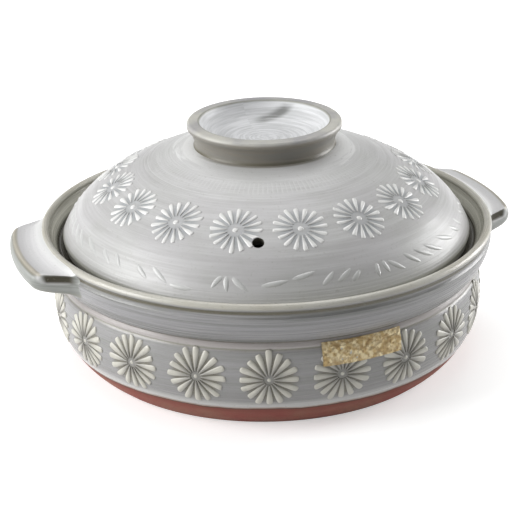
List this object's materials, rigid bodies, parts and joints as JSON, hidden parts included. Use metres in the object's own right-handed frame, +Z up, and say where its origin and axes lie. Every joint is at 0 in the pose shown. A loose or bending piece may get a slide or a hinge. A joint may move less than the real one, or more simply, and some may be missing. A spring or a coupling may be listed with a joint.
{
  "type": "donabe clay pot",
  "caption": "Wide shallow glazed clay casserole with two lug handles, a domed lid on an inner ledge, a ring knob and a steam vent.",
  "frame": {"origin": "centre of the base ring, on the surface the pot stands on", "axes": "+Z up along the pot's turning axis; the two handles lie on +X and -X; the front, where the paper label is, faces -Y"},
  "size_m": [0.3154, 0.282, 0.148],
  "materials": {
    "pot_glaze": "gloss",
    "lid_glaze": "gloss",
    "white_slip": "gloss",
    "label_paper": "satin"
  },
  "bodies": {
    "pot": {"pot_bowl": "pot_glaze", "left_handle": "pot_glaze", "right_handle": "pot_glaze", "wall_flowers": "white_slip", "paper_label": "label_paper"},
    "lid": {"lid_dome": "lid_glaze", "lid_flowers": "white_slip", "lid_knob": "lid_glaze"}
  },
  "joints": [
    {"name": "lid_lift", "type": "slide", "parent": "pot", "child": "lid", "axis": [0, 0, 1], "range_m": [0, 0.15]}
  ]
}
